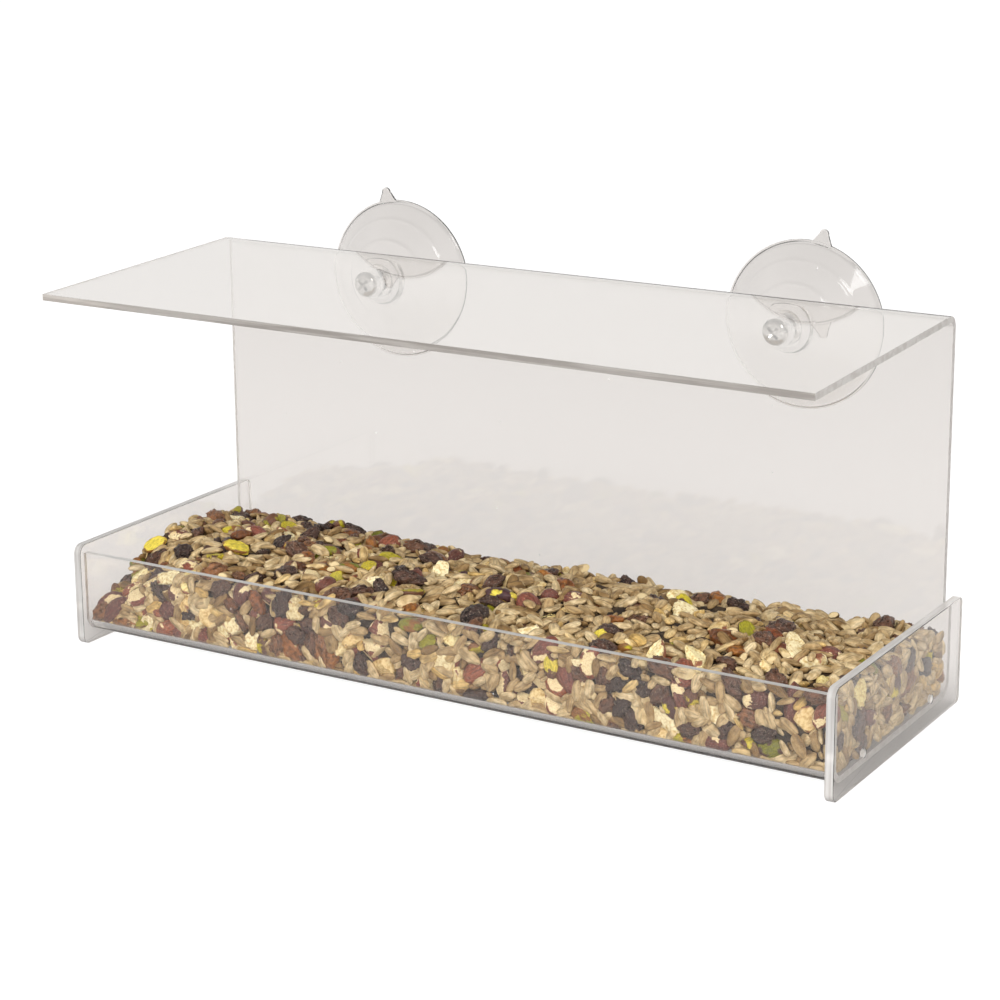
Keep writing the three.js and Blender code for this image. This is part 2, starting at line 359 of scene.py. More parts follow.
def pale_floor():
    """A plain pale floor. It is brightest seen directly, and greyer seen through the acrylic, where a
    painted shadow darkens it under the feeder.
    """
    corners = [(FLOOR_HALF * x, FLOOR_HALF * y, 0) for x, y in ((-1, -1), (1, -1), (1, 1), (-1, 1))]
    floor = mesh_object("floor", corners, [(0, 1, 2, 3)])
    floor.location.z = -FLOOR_DROP * MM
    material, tree = new_tree("floor")
    path = add(tree, "LightPath")
    mottle = add(tree, "TexNoise", Scale=3.0).outputs["Fac"]
    tone = ramp(tree, mottle, [(0.3, 0.52), (0.7, 0.56)])
    matt = add(tree, "BsdfDiffuse", Color=tone)
    # Painted reflection: the floor glows a little more where it is seen in a reflection.
    mirrored = math_node(tree, "MULTIPLY", path.outputs["Is Glossy Ray"], 0.25)
    lift = add(tree, "Emission", Color=srgb(255, 242, 235), Strength=mirrored)
    plain = add(tree, "AddShader", i0=matt.outputs[0], i1=lift.outputs[0])
    faint = add(tree, "BsdfDiffuse", Color=(0.24, 0.24, 0.24, 1))
    bright = add(tree, "Emission", Color=(1, 1, 1, 1), Strength=0.92)
    direct = add(tree, "AddShader", i0=faint.outputs[0], i1=bright.outputs[0])
    # Painted shadow: seen through the acrylic, the floor's glow is darkened by ambient occlusion under
    # and around the feeder.
    openness = add(tree, "AmbientOcclusion", {"samples": 4}, Distance=0.05).outputs["AO"]
    shade = ramp(tree, openness, [(0.3, 0.5), (0.95, 1.0)])
    grey = times(tree, shade, FLOOR_GREY)
    shadowed = add(tree, "BsdfDiffuse", Color=grey)
    fill = add(tree, "Emission", Color=grey, Strength=0.42)
    beyond = add(tree, "AddShader", i0=shadowed.outputs[0], i1=fill.outputs[0])
    first = mixed(tree, path.outputs["Is Camera Ray"], plain.outputs[0], direct.outputs[0])
    both = mixed(tree, path.outputs["Is Transmission Ray"], first, beyond.outputs[0])
    floor.data.materials.append(finished(material, tree, both))


def studio_world():
    """Soft light from all round, less from above. The surroundings are white seen directly, and greyer
    seen through the acrylic, with a dark flag at each side that draws the clear edges."""
    world = bpy.data.worlds.new("studio")
    bpy.context.scene.world = world
    world.use_nodes = True
    tree = world.node_tree
    tree.nodes.clear()
    path = add(tree, "LightPath")
    where = add(tree, "TexCoord")
    direction = add(tree, "SeparateXYZ", Vector=where.outputs["Generated"])
    across, height = direction.outputs["X"], direction.outputs["Z"]
    sky = ramp(tree, height, [(0.0, 1.0), (0.35, 0.94), (0.9, 0.24)])
    tint = times(tree, sky, srgb(255, 254, 252))
    light = add(tree, "Background", Color=tint, Strength=1.06)
    white = add(tree, "Background", Color=(1, 1, 1, 1), Strength=1.05)
    above = ramp(tree, height, [(0.3, 1.0), (0.75, 0.4)])
    aside = ramp(tree, math_node(tree, "ABSOLUTE", across), [(0.76, 1.0), (0.88, 0.12)])
    flagged = times(tree, above, aside)
    wall = times(tree, flagged, DISTANT_GREY)
    grey = add(tree, "Background", Color=wall, Strength=1.0)
    first = mixed(tree, path.outputs["Is Camera Ray"], light.outputs[0], white.outputs[0])
    both = mixed(tree, path.outputs["Is Transmission Ray"], first, grey.outputs[0])
    add(tree, "OutputWorld", Surface=both)


def softbox(name, place, target, width, height, power):
    data = bpy.data.lights.new(name, "AREA")
    data.shape = "RECTANGLE"
    data.size = width * MM
    data.size_y = height * MM
    data.energy = power
    lamp = bpy.data.objects.new(name, data)
    lamp.location = Vector(place) * MM
    lamp.rotation_mode = "QUATERNION"
    lamp.rotation_quaternion = (Vector(target) - Vector(place)).to_track_quat("-Z", "Y")
    bpy.context.scene.collection.objects.link(lamp)
    lamp.visible_camera = False
    return lamp


def studio():
    scene = bpy.context.scene
    scene.view_settings.view_transform = "Standard"
    scene.view_settings.look = "None"
    scene.cycles.transparent_max_bounces = 24
    scene.cycles.max_bounces = 16
    scene.cycles.transmission_bounces = 16
    studio_world()
    pale_floor()
    middle = (0, 0, 80)
    key = softbox("key_softbox", (700, -1500, 760), middle, 2400, 1800, 40)
    side = softbox("side_softbox", (-1500, -500, 700), middle, 900, 900, 6)
    for hidden in (key, side):
        hidden.visible_glossy = False
        hidden.visible_transmission = False
    softbox("glint_softbox", (900, -900, 1100), middle, 420, 520, 4)


# ---- materials


def clear_for_soft_light(tree, surface, tint):
    """Lets shadow and diffuse rays straight through, so that clear pieces shade nothing behind."""
    path = add(tree, "LightPath")
    clear = add(tree, "BsdfTransparent", Color=tint)
    soft = math_node(tree, "MAXIMUM", path.outputs["Is Shadow Ray"], path.outputs["Is Diffuse Ray"])
    return mixed(tree, soft, surface, clear.outputs[0])


def clear_plastic(name, colour, roughness, haze, ior, shadow, relief):
    """A clear plastic that light passes through, with faint smears in its gloss and specks of dust."""
    material, tree = new_tree(name)
    place = object_place(tree)
    smear = noise_of(tree, place, 22.0, 5.0, Distortion=1.2)
    gloss = ramp(tree, smear, [(0.42, roughness), (0.68, haze)])
    speck = add(tree, "TexVoronoi", Vector=place, Scale=70.0)
    dust = ramp(tree, speck.outputs["Distance"], [(0.012, 0.35), (0.03, 1.0)])
    ripple = noise_of(tree, place, relief, 2.0)
    surface = surface_of(tree, colour, gloss, ripple, 0.04, 0.0004, IOR=ior, Transmission_Weight=dust)
    return finished(material, tree, clear_for_soft_light(tree, surface, shadow))


def cut_edge(name, dark, light, clearness, run):
    """A sawn and scraped edge: a little frosted, with fine saw lines. run is how closely they follow
    each other along X, Y and Z, so it is small along the way that the saw went."""
    material, tree = new_tree(name)
    lines = noise_of(tree, stretched(tree, object_place(tree), *run), 900.0, 3.0)
    tone = ramp(tree, lines, [(0.42, dark), (0.58, light)])
    surface = surface_of(tree, tone, 0.28, lines, 0.15, 0.0001, IOR=1.49, Transmission_Weight=clearness)
    return finished(material, tree, clear_for_soft_light(tree, surface, (0.8, 0.79, 0.78, 1)))


def plated_steel():
    material, tree = new_tree("plated_steel")
    wear = noise_of(tree, object_place(tree), 700.0, 4.0)
    gloss = ramp(tree, wear, [(0.4, 0.07), (0.7, 0.2)])
    tone = ramp(tree, wear, [(0.3, (224, 221, 217)), (0.75, (176, 172, 167))])
    return finished(material, tree, surface_of(tree, tone, gloss, wear, 0.1, 0.00005, Metallic=1.0))


def made_of(piece, *materials):
    piece.data.materials.clear()
    for material in materials:
        piece.data.materials.append(material)


# ---- acrylic


def bent_section(steps):
    """The sheet's side view as (depth, height): its outer face from roof to lip, then back inside."""
    corners = [
        Vector((sheet_low.y, ROOF_FRONT_HEIGHT)),
        Vector((back_outer, ROOF_CORNER_HEIGHT)),
        Vector((back_outer, sheet_low.z)),
        Vector((lip_outer, sheet_low.z)),
        Vector((lip_outer, LIP_HEIGHT)),
    ]
    radii = [ROOF_BEND, TRAY_BEND, TRAY_BEND]
    right_of = lambda a, b: Vector(((b - a).y, -(b - a).x)).normalized()
    face = [(corners[0], right_of(corners[0], corners[1]))]
    for i, radius in enumerate(radii, start=1):
        before = right_of(corners[i - 1], corners[i])
        after = right_of(corners[i], corners[i + 1])
        centre = corners[i] + (before + after) * radius / (1 + before.dot(after))
        turn = math.acos(before.dot(after))
        for s in range(steps + 1):
            inward = Matrix.Rotation(-turn * s / steps, 2) @ before
            face.append((centre - inward * radius, inward))
    face.append((corners[-1], right_of(corners[-2], corners[-1])))
    inner = [point + inward * SHEET_THICKNESS for point, inward in reversed(face)]
    return [point for point, inward in face] + inner


def drill(radius, length):
    return lathed("drill", [(0, 0), (radius, 0), (radius, length), (0, length)], 48)


def bent_sheet(clear, sawn_edge, roof_edge, lip_edge):
    outline = bent_section(24)
    width = sheet_high.x - sheet_low.x
    sheet = extruded("acrylic_sheet", outline, lambda y, z, x: (sheet_low.x + x, y, z), width)
    drills = []
    for side in ("left", "right"):
        rod = drill(SHEET_HOLE_RADIUS, SHEET_THICKNESS + 2 * DRILL_OVERRUN)
        rod.location = screw_axis(side) * MM
        rod.location.y = (back_inner - DRILL_OVERRUN) * MM
        drills.append(rod)
    combined(sheet, drills, "DIFFERENCE")
    made_of(sheet, clear, sawn_edge, roof_edge, lip_edge)
    for polygon in sheet.data.polygons:
        centre = polygon.center / MM
        if abs(polygon.normal.x) > 0.9 and abs(centre.x) > sheet_high.x - 0.1:
            polygon.material_index = 1
        elif polygon.normal.y < -0.9 and centre.y < sheet_low.y + 0.5:
            polygon.material_index = 2
        elif polygon.normal.z > 0.9 and abs(centre.z - LIP_HEIGHT) < 0.1:
            polygon.material_index = 3
    edges_broken(sheet, SHEET_EDGE_ROUND)
    shaded(sheet)
    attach(sheet, "feeder")
    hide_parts("bent_sheet")


def end_panel(side, clear, edge):
    low, high = box_mm(f"{side}_end_panel")
    front, rear = END_FRONT_CORNER, END_REAR_CORNER
    outline = [
        *arc((low.y + front, low.z + front), front, 180, 270, 10),
        *arc((high.y - rear, low.z + rear), rear, 270, 360, 8),
        *arc((high.y - rear, high.z - rear), rear, 0, 90, 8),
        *arc((low.y + front, high.z - front), front, 90, 180, 10),
    ]
    name = f"acrylic_{side}_end"
    panel = extruded(name, outline, lambda y, z, x: (low.x + x, y, z), high.x - low.x)
    drills = []
    for depth in DRAIN_HOLE_DEPTHS:
        rod = drill(DRAIN_HOLE_RADIUS, high.x - low.x + 2 * DRILL_OVERRUN)
        rod.rotation_euler = (0, 0, -math.pi / 2)
        start = Vector((low.x - DRILL_OVERRUN, low.y + depth, floor_top + DRAIN_HOLE_RISE))
        rod.location = start * MM
        drills.append(rod)
    combined(panel, drills, "DIFFERENCE")
    made_of(panel, clear, edge)
    for polygon in panel.data.polygons:
        polygon.material_index = 1 if abs(polygon.normal.x) < 0.5 else 0
    edges_broken(panel, END_EDGE_ROUND, 4)
    shaded(panel)
    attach(panel, "feeder")
    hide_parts(f"{side}_end_panel")


# ---- cups and screws


def screw_axis(side):
    """The point where a cup's axis meets its neck's front face."""
    low, high = box_mm(f"{side}_cup_screw")
    cup_low, cup_high = box_mm(f"{side}_suction_cup")
    return Vector(((low.x + high.x) / 2, cup_low.y, (low.z + high.z) / 2))


def cup_length():
    low, high = box_mm("left_suction_cup")
    return high.y - low.y


def bell_front(radius):
    """Depth of the bell's front face at a radius: a curve from crown to rim with two moulded steps."""
    share = (radius - CROWN_RADIUS) / (CUP_RADIUS - CROWN_RADIUS)
    span = cup_length() - RIM_WALL - CROWN_DEPTH - RING_STEP * len(MOULD_RINGS)
    steps = sum(smooth_step(ring, 0.5, radius) for ring in MOULD_RINGS)
    return CROWN_DEPTH + span * share**BELL_POWER + RING_STEP * steps


def bell_wall(radius):
    share = (radius - CROWN_RADIUS) / (CUP_RADIUS - CROWN_RADIUS)
    return CROWN_WALL + (RIM_WALL - CROWN_WALL) * share


def cup_profile():
    length = cup_length()
    quarter = lambda r, d, radius, start, end: arc((r, d), radius, start, end, 5)
    front = [(r, bell_front(r)) for r in np.arange(CROWN_RADIUS + 0.6, CUP_RADIUS - 0.3, 0.45)]
    inner_radii = np.arange(CUP_RADIUS - RIM_LAND - 0.6, CROWN_RADIUS, -0.9)
    inside = [(r, bell_front(r) + bell_wall(r)) for r in inner_radii]
    floor_depth = BORE_DEPTH + BORE_FLOOR
    return [
        (0, BORE_DEPTH),
        (BORE_RADIUS - 0.4, BORE_DEPTH),
        (BORE_RADIUS, BORE_DEPTH - 0.4),
        (BORE_RADIUS, BORE_EDGE),
        (BORE_RADIUS + BORE_EDGE, 0),
        *quarter(NECK_RADIUS - NECK_EDGE, NECK_EDGE, NECK_EDGE, -90, 0),
        *quarter(NECK_RADIUS + NECK_FILLET, NECK_LENGTH - NECK_FILLET, NECK_FILLET, 180, 90),
        *quarter(CROWN_RADIUS - CROWN_EDGE, NECK_LENGTH + CROWN_EDGE, CROWN_EDGE, -90, 0),
        *front,
        *quarter(CUP_RADIUS - 0.4, length - 0.7, 0.4, -50, 0),
        *quarter(CUP_RADIUS - RIM_EDGE, length - RIM_EDGE, RIM_EDGE, 0, 90),
        (CUP_RADIUS - RIM_LAND, length),
        *inside,
        (8, floor_depth + 0.6),
        (4, floor_depth + 0.15),
        (0, floor_depth),
    ]


def pull_tab(degrees):
    tip = CUP_RADIUS + TAB_LENGTH - TAB_HALF_TIP
    flare = [
        (TAB_HALF_BASE + 1.6, CUP_RADIUS - 1.6),
        (TAB_HALF_BASE, CUP_RADIUS - 0.1),
        (TAB_HALF_BASE - 0.7, CUP_RADIUS + 1.1),
    ]
    outline = [*flare, *arc((0, tip), TAB_HALF_TIP, 0, 180, 16), *[(-a, r) for a, r in reversed(flare)]]
    depth = cup_length() - TAB_THICKNESS - 0.15
    tab = extruded("tab", outline, lambda a, r, d: (a, depth + d, r), TAB_THICKNESS)
    edges_broken(tab, 0.45, 3)
    tab.data.transform(Matrix.Rotation(math.radians(degrees), 4, "Y"))
    return tab


def suction_cup(side, material):
    cup = lathed(f"vinyl_{side}_cup", cup_profile(), 144)
    combined(cup, [pull_tab(CUP_TABS[side])], "UNION")
    cup.data.transform(Matrix.Translation(screw_axis(side) * MM))
    made_of(cup, material)
    shaded(cup, 40)
    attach(cup, f"{side}_cup")
    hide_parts(f"{side}_suction_cup")


def screw_profile(length):
    rise = HEAD_HEIGHT - HEAD_EDGE
    dome = []
    for s in range(1, 15):
        angle = s / 14 * math.pi / 2
        dome.append((HEAD_RADIUS * math.sin(angle), -HEAD_EDGE - rise * math.cos(angle)))
    thread = [(SHANK_RADIUS, d) for d in np.arange(0.6, length - 1.5, 0.12)]
    return [
        (0, -HEAD_HEIGHT),
        *dome,
        (HEAD_RADIUS, -HEAD_LIP),
        (HEAD_RADIUS - HEAD_LIP, 0),
        (SHANK_RADIUS + 0.3, 0),
        (SHANK_RADIUS, 0.3),
        *thread,
        (SHANK_RADIUS - 0.3, length - 1.2),
        (0.6, length - 0.1),
        (0, length),
    ]


def thread_radius(length):
    """The shank's radius at a place along and round it, with a thread between its two plain ends."""
    def at(radius, along, angle):
        if along < 0.8 or along > length - 1.3 or radius < SHANK_RADIUS - 0.05:
            return radius
        phase = (along / THREAD_PITCH - angle / (2 * math.pi)) % 1
        return SHANK_RADIUS - THREAD_DEPTH * (1 - abs(2 * phase - 1)) ** 1.3
    return at


def driver_recess():
    """A cross recess: two tapered wings that narrow to a point below the head's dome."""
    top, middle, deep = -HEAD_HEIGHT - 0.5, -HEAD_HEIGHT + 1.1, -HEAD_HEIGHT + RECESS_DEPTH
    half = RECESS_HALF
    outline = [(-half, top), (half, top), (3.0, middle), (1.0, deep), (-1.0, deep), (-3.0, middle)]
    wings = []
    for turn in (45, 135):
        wing = extruded("wing", outline, lambda a, d, t: (a, d, t - RECESS_WIDTH / 2), RECESS_WIDTH)
        wing.data.transform(Matrix.Rotation(math.radians(turn), 4, "Y"))
        wings.append(wing)
    return wings


def cup_screw(side, material):
    low, high = box_mm(f"{side}_cup_screw")
    length = high.y - low.y - HEAD_HEIGHT
    screw = lathed(f"plated_{side}_screw", screw_profile(length), 64, thread_radius(length))
    combined(screw, driver_recess(), "DIFFERENCE")
    place = screw_axis(side)
    place.y = low.y + HEAD_HEIGHT
    screw.data.transform(Matrix.Translation(place * MM))
    made_of(screw, material)
    shaded(screw, 40)
    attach(screw, f"{side}_screw")
    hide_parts(f"{side}_cup_screw")


# ---- seed mix: shapes of one grain


def spindle(rings, segments, size, outline, lumps=0.0, frequency=1.0, key=0.0, bend=0.0, keel=0.0):
    """A closed grain about the x axis. outline(share along) is its girth from 0 to 1, and keel
    sharpens its two side edges, as on a flat seed."""
    length, width, thickness = size
    points = [Vector((-length / 2, 0, 0))]
    shares = [(1 - math.cos(math.pi * i / rings)) / 2 for i in range(1, rings)]
    for share in shares:
        for s in range(segments):
            angle = 2 * math.pi * s / segments
            girth = outline(share) / 2
            rise = math.sin(angle) * abs(math.sin(angle)) ** keel
            points.append(Vector((
                (share - 0.5) * length, girth * width * math.cos(angle), girth * thickness * rise,
            )))
    points.append(Vector((length / 2, 0, 0)))
    shaped = []
    for point in points:
        unit = Vector((point.x / length, point.y / width, point.z / thickness)) * frequency
        swell = 1 + lumps * noise.fractal(unit + Vector((key, key * 1.7, 3)), 0.7, 2.1, 3)
        moved = point * swell
        moved.z += bend * (1 - (2 * point.x / length) ** 2)
        shaped.append(moved)
    index = lambda ring, s: 1 + ring * segments + s % segments
    last = len(points) - 1
    faces = []
    for s in range(segments):
        faces.append((0, index(0, s + 1), index(0, s)))
        faces.append((last, index(rings - 2, s), index(rings - 2, s + 1)))
        for ring in range(rings - 2):
            faces.append((index(ring, s), index(ring, s + 1), index(ring + 1, s + 1), index(ring + 1, s)))
    return np.array([tuple(p) for p in shaped]), faces


def broken(points, planes):
    """Snaps a grain off at planes, each (normal, distance). Also tells how bare each point is left."""
    cut = points.copy()
    bare = np.zeros(len(points))
    for normal, distance in planes:
        n = np.array(normal, float)
        n /= np.linalg.norm(n)
        past = np.maximum(0, cut @ n - distance)
        rough = np.array([noise.noise(Vector(p) * 0.9) for p in cut]) * 0.5
        cut -= (past * (1 - 0.12 * rough) - rough * (past > 0))[:, None] * n
        bare = np.maximum(bare, np.minimum(past * 2.5, 1))
    return cut, bare


def wrinkled(points, key, depth, across):
    """Draws a grain's skin into furrows that run along it. across is their pitch, in turns per mm."""
    drawn = []
    for p in points:
        at = Vector((p[0] * across * 0.35, p[1] * across, p[2] * across)) + Vector((key * 11.0, 5, 1))
        furrow = 1 - 2 * abs(noise.noise(at))
        fine = 1 - 2 * abs(noise.noise(at * 2.2 + Vector((3, 7, 2))))
        drawn.append(p * (1 - depth + depth * furrow + depth * 0.45 * fine))
    return np.array(drawn)


teardrop = lambda share: 1.91 * share**0.55 * (1 - share) ** 0.40
round_ended = lambda share: (4 * share * (1 - share)) ** 0.5
almond_ended = lambda share: 2.15 * share**0.62 * (1 - share) ** 0.48


def grain(spindled, furrows=None, planes=()):
    """A grain's points, faces and how bare each point is: a spindle, wrinkled and snapped off."""
    points, faces = spindled
    if furrows:
        points = wrinkled(points, *furrows)
    points, bare = broken(points, planes)
    return points, faces, bare


def kernel_shapes():
    shapes = []
    for key in range(8):
        slim = 0.5 * math.sin(key * 1.9)
        size = (10.0 + 0.8 * math.cos(key * 2.7), 4.9 + slim, 2.8 - 0.3 * slim)
        lean = 0.35 * math.sin(key * 2.4)
        shapes.append(grain(spindle(10, 12, size, teardrop, 0.06, 1.2, key * 7.3, lean, 0.2)))
    size = (10.2, 5.2, 3.0)
    for key, side in enumerate((-1, 1)):
        whole = spindle(10, 12, size, teardrop, 0.08, 1.5, 60 + key * 5.1, 0.2, 0.2)
        shapes.append(grain(whole, planes=[((1, side * 0.5, 0.3), 2.2 + 0.6 * key)]))
    return shapes


def raisin_shapes():
    shapes = []
    for key in range(7):
        size = (13.2 + 1.6 * math.sin(key * 2.1), 9.0, 6.6 + math.cos(key * 1.7))
        whole = spindle(22, 30, size, round_ended, 0.24, 1.3, key * 3.1, 0.6)
        shapes.append(grain(whole, (key, 0.26, 0.42)))
    return shapes


def nut_shapes():
    """Almonds and peanuts by turns, two in three of them snapped."""
    shapes = []
    for key in range(7):
        size, ends = ((17.0, 10.4, 7.8), almond_ended) if key % 2 else ((14.0, 11.2, 9.6), round_ended)
        whole = spindle(18, 26, size, ends, 0.10, 1.2, 20 + key * 4.7)
        planes = [((0.5 - 0.3 * key, 0.8, 0.6), 2.4 + 0.3 * (key % 3))] if key % 3 else []
        if key == 5:
            planes.append(((1, -0.2, 0.3), 3.0))
        shapes.append(grain(whole, (key + 30, 0.05, 0.5), planes))
    return shapes


def pistachio_shapes():
    shapes = []
    for key in range(5):
        size = (12.4, 7.4 + 0.6 * math.sin(key * 2), 6.2)
        whole = spindle(16, 22, size, almond_ended, 0.12, 1.5, 33 + key * 6.1, 0.3)
        planes = [((0.1, 0.3 * key - 0.5, 1), 1.0)] if key % 2 else []
        shapes.append(grain(whole, (key + 60, 0.07, 0.6), planes))
    return shapes


def chunk_shapes():
    """Angular pieces of pale nut and dried apple, some of them the largest things in the mix."""
    shapes = []
    for key in range(7):
        size = (20.0, 11.0, 7.0) if key % 3 == 0 else (14.0, 9.6, 7.4)
        turn = key * 1.3
        planes = [
            ((math.cos(turn), math.sin(turn), 0.4), 3.6),
            ((-0.6, math.cos(turn * 2), 0.3), 3.3),
            ((0.15, -math.sin(turn) * 0.2, 1.0), 2.0),
            ((0.3, -math.sin(turn), -0.8), 2.4),
            ((-0.9, 0.4 * math.cos(turn), 0.1), size[0] * 0.36),
        ]
        whole = spindle(20, 26, size, round_ended, 0.22, 1.3, 47 + key * 8.3)
        shapes.append(grain(whole, planes=planes))
    return shapes


def fruit_shapes():
    shapes = []
    for key in range(5):
        size = (13.5, 9.0 + math.sin(key * 2.2), 6.4)
        whole = spindle(18, 24, size, round_ended, 0.28, 1.6, 71 + key * 9.7, 0.4)
        shapes.append(grain(whole, (key + 90, 0.13, 0.4)))
    return shapes


# ---- seed mix: materials


def grain_inputs(tree):
    """The grain's own random numbers, its own coordinates in millimetres, and where it is snapped."""
    drawn = add(tree, "Attribute", {"attribute_name": "grain"}).outputs["Vector"]
    local = add(tree, "Attribute", {"attribute_name": "local"}).outputs["Vector"]
    bare = add(tree, "Attribute", {"attribute_name": "bare"}).outputs["Fac"]
    return add(tree, "SeparateXYZ", Vector=drawn).outputs, local, bare


def kernel_material():
    """Hulled sunflower: beige, with fine lengthwise wrinkles, painted shade in their furrows, a dusty
    bloom and paler snapped ends.
    """
    material, tree = new_tree("sunflower_kernel")
    draws, local, bare = grain_inputs(tree)
    body = ramp(tree, draws["X"], [
        (0.0, (142, 112, 70)), (0.2, (186, 157, 112)), (0.6, (212, 187, 143)),
        (0.9, (226, 204, 162)), (1.0, (222, 186, 114)),
    ])
    wrinkle = noise_of(tree, stretched(tree, local, 0.14, 1.0, 1.0), 1.2, 5.0)
    # Painted shade: the kernel is darker in the furrows of its wrinkles.
    painted_furrow_shade = ramp(tree, wrinkle, [(0.38, 0.62), (0.54, 1.0)])
    blotch = noise_of(tree, local, 0.30, 3.0)
    patch = ramp(tree, blotch, [(0.38, (206, 196, 180)), (0.62, 1.0)])
    spot = ramp(tree, noise_of(tree, local, 0.8, 1.0), [(0.72, 0.0), (0.76, 0.5)])
    skin = times(tree, times(tree, body, painted_furrow_shade), patch)
    spotted = mix_colour(tree, spot, skin, srgb(110, 84, 60))
    colour = mix_colour(tree, bare, spotted, srgb(220, 198, 152))
    surface = surface_of(tree, colour, 0.6, wrinkle, 0.6, 0.0004, Specular_IOR_Level=0.35)
    return finished(material, tree, surface)


def raisin_material():
    """Raisins and currants: near black in the folds and lighter on the ridges, by painted shade and
    light, with sugar specks and a greasy gloss.
    """
    material, tree = new_tree("raisin")
    draws, local, _ = grain_inputs(tree)
    body = ramp(tree, draws["X"], [
        (0.0, (48, 34, 30)), (0.4, (72, 48, 38)), (0.75, (100, 66, 46)), (1.0, (134, 88, 52)),
    ])
    fold = noise_of(tree, stretched(tree, local, 0.5, 1, 1), 0.6, 6.0, Roughness=0.65)
    # Painted shade and light: darker in the folds, lighter on the ridges between them.
    shade = ramp(tree, fold, [(0.38, 0.3), (0.62, 1.5)])
    bloom = ramp(tree, noise_of(tree, local, 1.7, 3.0), [(0.58, 0.0), (0.68, 0.7)])
    colour = mix_colour(tree, bloom, times(tree, body, shade), srgb(168, 148, 130))
    gloss = ramp(tree, fold, [(0.4, 0.26), (0.65, 0.5)])
    return finished(material, tree, surface_of(tree, colour, gloss, fold, 1.0, 0.0009))


def nut_material():
    """Peanuts and almonds: red brown skins with pale dust and painted shade between their ribs, and cream
    flesh where they have snapped.
    """
    material, tree = new_tree("skinned_nut")
    draws, local, bare = grain_inputs(tree)
    skin = ramp(tree, draws["X"], [
        (0.0, (86, 46, 38)), (0.4, (112, 62, 50)), (0.75, (126, 66, 50)), (1.0, (146, 80, 48)),
    ])
    rib = noise_of(tree, stretched(tree, local, 0.2, 1.0, 1.0), 1.3, 5.0)
    # Painted shade: the skin is darker between its ribs and lighter on them.
    shade = ramp(tree, rib, [(0.36, 0.5), (0.6, 1.2)])
    dust = noise_of(tree, local, 1.7, 3.0)
    pale = ramp(tree, dust, [(0.58, 0.0), (0.68, 0.6)])
    worn = mix_colour(tree, pale, times(tree, skin, shade), srgb(192, 160, 136))
    rubbed = ramp(tree, noise_of(tree, local, 0.14, 3.0), [(0.60, 0.0), (0.62, 1.0)])
    flesh = ramp(tree, dust, [(0.36, (216, 186, 134)), (0.6, (240, 222, 176))])
    snapped = ramp(tree, bare, [(0.45, 0.0), (0.6, 1.0)])
    colour = mix_colour(tree, math_node(tree, "MAXIMUM", rubbed, snapped), worn, flesh)
    return finished(material, tree, surface_of(tree, colour, 0.45, rib, 0.7, 0.0006))


def pistachio_material():
    """Pistachios: yellow green flesh under a thin purple brown skin that has partly rubbed away, with
    painted shade in their fine grooves.
    """
    material, tree = new_tree("pistachio")
    draws, local, bare = grain_inputs(tree)
    body = ramp(tree, draws["X"], [
        (0.0, (112, 112, 30)), (0.4, (160, 150, 34)), (0.75, (204, 184, 48)), (1.0, (226, 204, 80)),
    ])
    skin = ramp(tree, noise_of(tree, local, 0.17, 3.0), [(0.45, 0.0), (0.50, 1.0)])
    kept = mix_colour(tree, bare, skin, (0, 0, 0, 1))
    brown = ramp(tree, draws["Y"], [(0.0, (74, 46, 48)), (0.6, (112, 74, 52)), (1.0, (150, 100, 48))])
    fine = noise_of(tree, stretched(tree, local, 0.4, 1.2, 1.2), 1.4, 4.0)
    # Painted shade: darker where the fine bump is low, a little lighter where it is high.
    shade = ramp(tree, fine, [(0.36, 0.6), (0.6, 1.1)])
    colour = times(tree, mix_colour(tree, kept, body, brown), shade)
    return finished(material, tree, surface_of(tree, colour, 0.45, fine, 0.6, 0.0005))


def flesh_material():
    """Pale nut and dried apple: cream on every broken face, with painted shade in the hollows of its bump
    and a rim of brown skin in places.
    """
    material, tree = new_tree("nut_flesh")
    draws, local, bare = grain_inputs(tree)
    body = ramp(tree, draws["X"], [
        (0.0, (228, 196, 134)), (0.3, (240, 220, 168)), (0.7, (248, 236, 196)), (1.0, (248, 230, 160)),
    ])
    mottle = noise_of(tree, local, 0.8, 5.0)
    # Painted shade: the cream is darker in the hollows of its bump.
    shade = ramp(tree, mottle, [(0.34, (212, 190, 150)), (0.58, 1.0)])
    patch = ramp(tree, noise_of(tree, local, 0.2, 3.0), [(0.50, 0.0), (0.52, 1.0)])
    skin = mix_colour(tree, bare, patch, (0, 0, 0, 1))
    pale = times(tree, body, shade)
    colour = mix_colour(tree, skin, pale, srgb(136, 84, 58))
    return finished(material, tree, surface_of(tree, colour, 0.55, mottle, 0.6, 0.0006))


def fruit_material():
    """Dried apricot and candied peel: amber to red brown and glossy, with painted shade that darkens the
    folds.
    """
    material, tree = new_tree("dried_fruit")
    draws, local, _ = grain_inputs(tree)
    body = ramp(tree, draws["X"], [
        (0.0, (92, 54, 32)), (0.35, (136, 82, 38)), (0.7, (156, 102, 46)), (1.0, (118, 58, 36)),
    ])
    fold = noise_of(tree, local, 0.5, 5.0)
    # Painted shade: darker in the folds, a little lighter on their tops.
    shade = ramp(tree, fold, [(0.36, 0.4), (0.6, 1.15)])
    bloom = ramp(tree, noise_of(tree, local, 1.2, 2.0), [(0.62, 0.0), (0.72, 0.4)])
    colour = mix_colour(tree, bloom, times(tree, body, shade), srgb(206, 168, 118))
    surface = surface_of(
        tree, colour, 0.32, fold, 0.8, 0.0009,
        Subsurface_Weight=0.15, Subsurface_Radius=(0.004, 0.002, 0.001),
    )
    return finished(material, tree, surface)


def core_material():
    material, tree = new_tree("painted_seed_shade")
    # Painted shade: a dark body stands for the shade inside the heap, mottled between two dark browns.
    core_mottle = noise_of(tree, object_place(tree), 300.0, 4.0)
    colour = ramp(tree, core_mottle, [(0.35, (40, 32, 26)), (0.7, (88, 70, 50))])
    return finished(material, tree, surface_of(tree, colour, 0.9, core_mottle, 0.8, 0.001))


# ---- seed mix: packing


